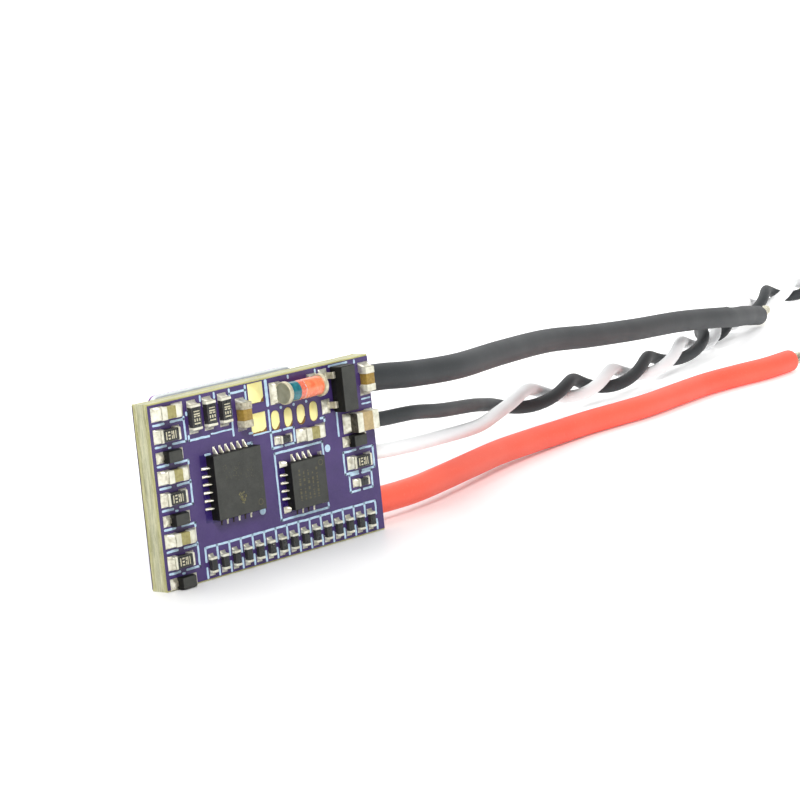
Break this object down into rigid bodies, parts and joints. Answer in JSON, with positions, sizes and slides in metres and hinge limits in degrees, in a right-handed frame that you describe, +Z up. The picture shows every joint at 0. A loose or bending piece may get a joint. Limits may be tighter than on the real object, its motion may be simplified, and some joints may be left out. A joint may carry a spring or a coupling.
{
  "type": "electronic speed controller",
  "caption": "Small brushless motor speed controller: bare circuit board standing on its long edge, chip parts in front, transistors under a heat plate behind, and four flexible leads.",
  "frame": {"origin": "middle of the foot of the board assembly, on the surface that it stands on", "axes": "+X along the board towards the leads, +Y out of the power side, +Z up the board"},
  "size_m": [0.1373, 0.0424, 0.0115],
  "materials": {
    "laminate": "woven glass laminate with sawn edges",
    "solder_mask": "smooth violet lacquer",
    "legend_ink": "printed ink",
    "gold_plate": "bright gold plating",
    "tin": "tinned copper",
    "solder": "smooth wetted solder",
    "moulding_compound": "matt moulded epoxy",
    "diode_glass": "painted glass sleeve",
    "diode_caps": "dull plated caps",
    "tan_ceramic": "fired ceramic with metal ends",
    "brown_ceramic": "fired ceramic with metal ends",
    "resistor_coat": "black coat over ceramic with metal ends",
    "thermal_pad": "soft filled pad",
    "anodised_plate": "anodised faces with bright edges",
    "black_silicone": "matt silicone rubber",
    "red_silicone": "satin silicone rubber",
    "white_silicone": "satin silicone rubber",
    "tinned_wire": "tinned copper strands",
    "plug_plastic": "moulded nylon"
  },
  "bodies": {
    "root": {"substrate": "laminate", "front_solder_mask": "solder_mask", "rear_solder_mask": "solder_mask", "legend": "legend_ink", "test_pads": "gold_plate", "chip_lands": "tin", "gate_driver": "moulding_compound", "gate_driver_joints": "solder", "microcontroller": "moulding_compound", "microcontroller_joints": "solder", "voltage_regulator": "moulding_compound", "regulator_leads": "tin", "glass_diode": "diode_glass", "glass_diode_caps": "diode_caps", "bootstrap_capacitor_1": "tan_ceramic", "bootstrap_capacitor_2": "tan_ceramic", "bootstrap_capacitor_3": "tan_ceramic", "bootstrap_resistor_1": "resistor_coat", "bootstrap_resistor_2": "resistor_coat", "bootstrap_resistor_3": "resistor_coat", "bootstrap_diode_1": "moulding_compound", "bootstrap_diode_2": "moulding_compound", "bootstrap_diode_3": "moulding_compound", "gate_resistor_1": "resistor_coat", "gate_resistor_2": "resistor_coat", "gate_resistor_3": "resistor_coat", "driver_capacitor": "brown_ceramic", "logic_capacitor": "tan_ceramic", "input_capacitor": "tan_ceramic", "output_capacitor": "brown_ceramic", "polarity_diode": "moulding_compound", "supply_resistor": "resistor_coat", "filter_resistor": "resistor_coat", "reset_resistor": "resistor_coat", "resistor_row": "resistor_coat", "mosfet_1": "moulding_compound", "mosfet_2": "moulding_compound", "mosfet_3": "moulding_compound", "mosfet_4": "moulding_compound", "mosfet_5": "moulding_compound", "mosfet_6": "moulding_compound", "thermal_pad": "thermal_pad", "heat_plate": "anodised_plate", "phase_pads": "solder", "battery_pads": "tin", "signal_pads": "tin", "battery_joints": "solder", "signal_joints": "solder", "battery_negative_lead": "black_silicone", "battery_positive_lead": "red_silicone", "signal_lead": "white_silicone", "ground_lead": "black_silicone", "battery_negative_end": "tinned_wire", "battery_positive_end": "tinned_wire", "plug_housing": "plug_plastic", "plug_contacts": "gold_plate"}
  },
  "joints": []
}
